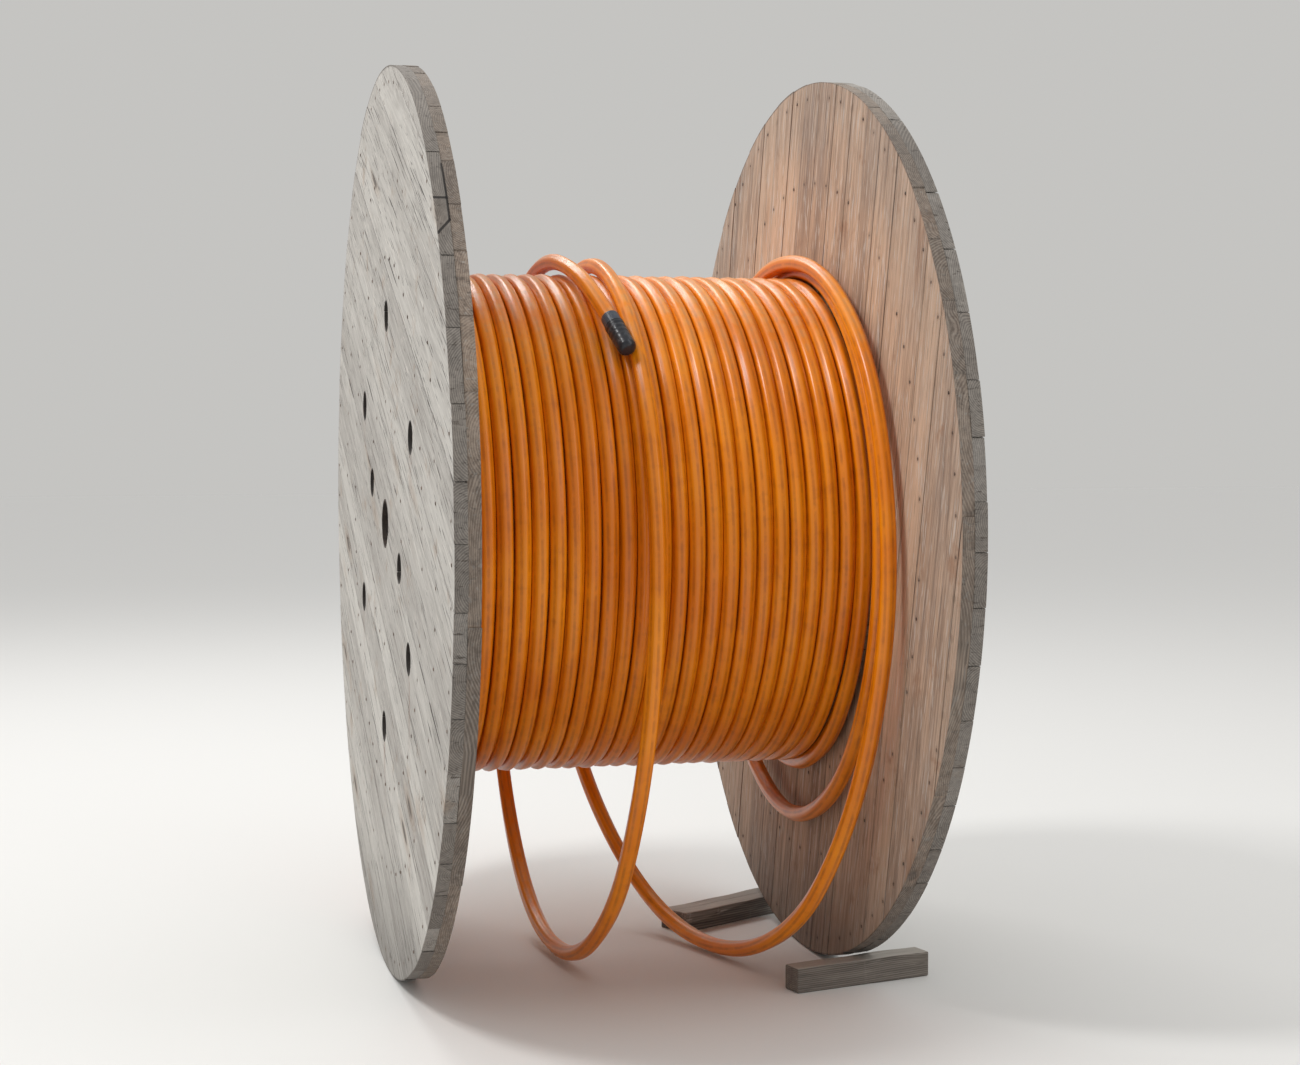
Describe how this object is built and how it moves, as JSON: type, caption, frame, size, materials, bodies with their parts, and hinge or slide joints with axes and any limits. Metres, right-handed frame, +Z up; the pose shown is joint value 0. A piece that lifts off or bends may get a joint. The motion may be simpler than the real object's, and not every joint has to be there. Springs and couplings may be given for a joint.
{
  "type": "wooden cable drum",
  "caption": "Upright wooden cable drum wound with a layer of orange duct; slack turns hang in deep loops between the flanges, and timbers chock the rim.",
  "frame": {"origin": "centre of the drum: on the axis of the spindle bore, midway between the two flanges", "axes": "+X along the drum's axis to the right flange, the one that the loose duct hangs beside; +Z up; -Y the side that the loops and the capped end are on"},
  "size_m": [1.4609, 2.5, 2.5],
  "materials": {
    "outer_board_wood": "bare, weathered grey",
    "inner_board_wood": "bare, weathered brown",
    "core_wood": "bare, rough sawn",
    "arbour_steel": "rusty",
    "fastener_steel": "rusty",
    "duct_plastic": "satin, finely ribbed",
    "cap_rubber": "smooth shrink-on cap",
    "chock_wood": "bare, dark and weathered"
  },
  "bodies": {
    "root": {"arbour_bush_left": "arbour_steel", "arbour_bush_right": "arbour_steel", "chock_front": "chock_wood", "chock_rear": "chock_wood", "core_ring_left": "core_wood", "core_ring_middle": "core_wood", "core_ring_right": "core_wood", "core_staves": "core_wood", "end_cap": "cap_rubber", "flange_left_inner_boards": "inner_board_wood", "flange_left_outer_boards": "outer_board_wood", "flange_right_inner_boards": "inner_board_wood", "flange_right_outer_boards": "outer_board_wood", "nut_left_1": "fastener_steel", "nut_left_2": "fastener_steel", "nut_left_3": "fastener_steel", "nut_left_4": "fastener_steel", "nut_left_5": "fastener_steel", "nut_left_6": "fastener_steel", "nut_right_1": "fastener_steel", "nut_right_2": "fastener_steel", "nut_right_3": "fastener_steel", "nut_right_4": "fastener_steel", "nut_right_5": "fastener_steel", "nut_right_6": "fastener_steel", "slack_duct": "duct_plastic", "tie_rod_1": "fastener_steel", "tie_rod_2": "fastener_steel", "tie_rod_3": "fastener_steel", "tie_rod_4": "fastener_steel", "tie_rod_5": "fastener_steel", "tie_rod_6": "fastener_steel", "washer_left_1": "fastener_steel", "washer_left_2": "fastener_steel", "washer_left_3": "fastener_steel", "washer_left_4": "fastener_steel", "washer_left_5": "fastener_steel", "washer_left_6": "fastener_steel", "washer_right_1": "fastener_steel", "washer_right_2": "fastener_steel", "washer_right_3": "fastener_steel", "washer_right_4": "fastener_steel", "washer_right_5": "fastener_steel", "washer_right_6": "fastener_steel", "winding": "duct_plastic"}
  },
  "joints": []
}
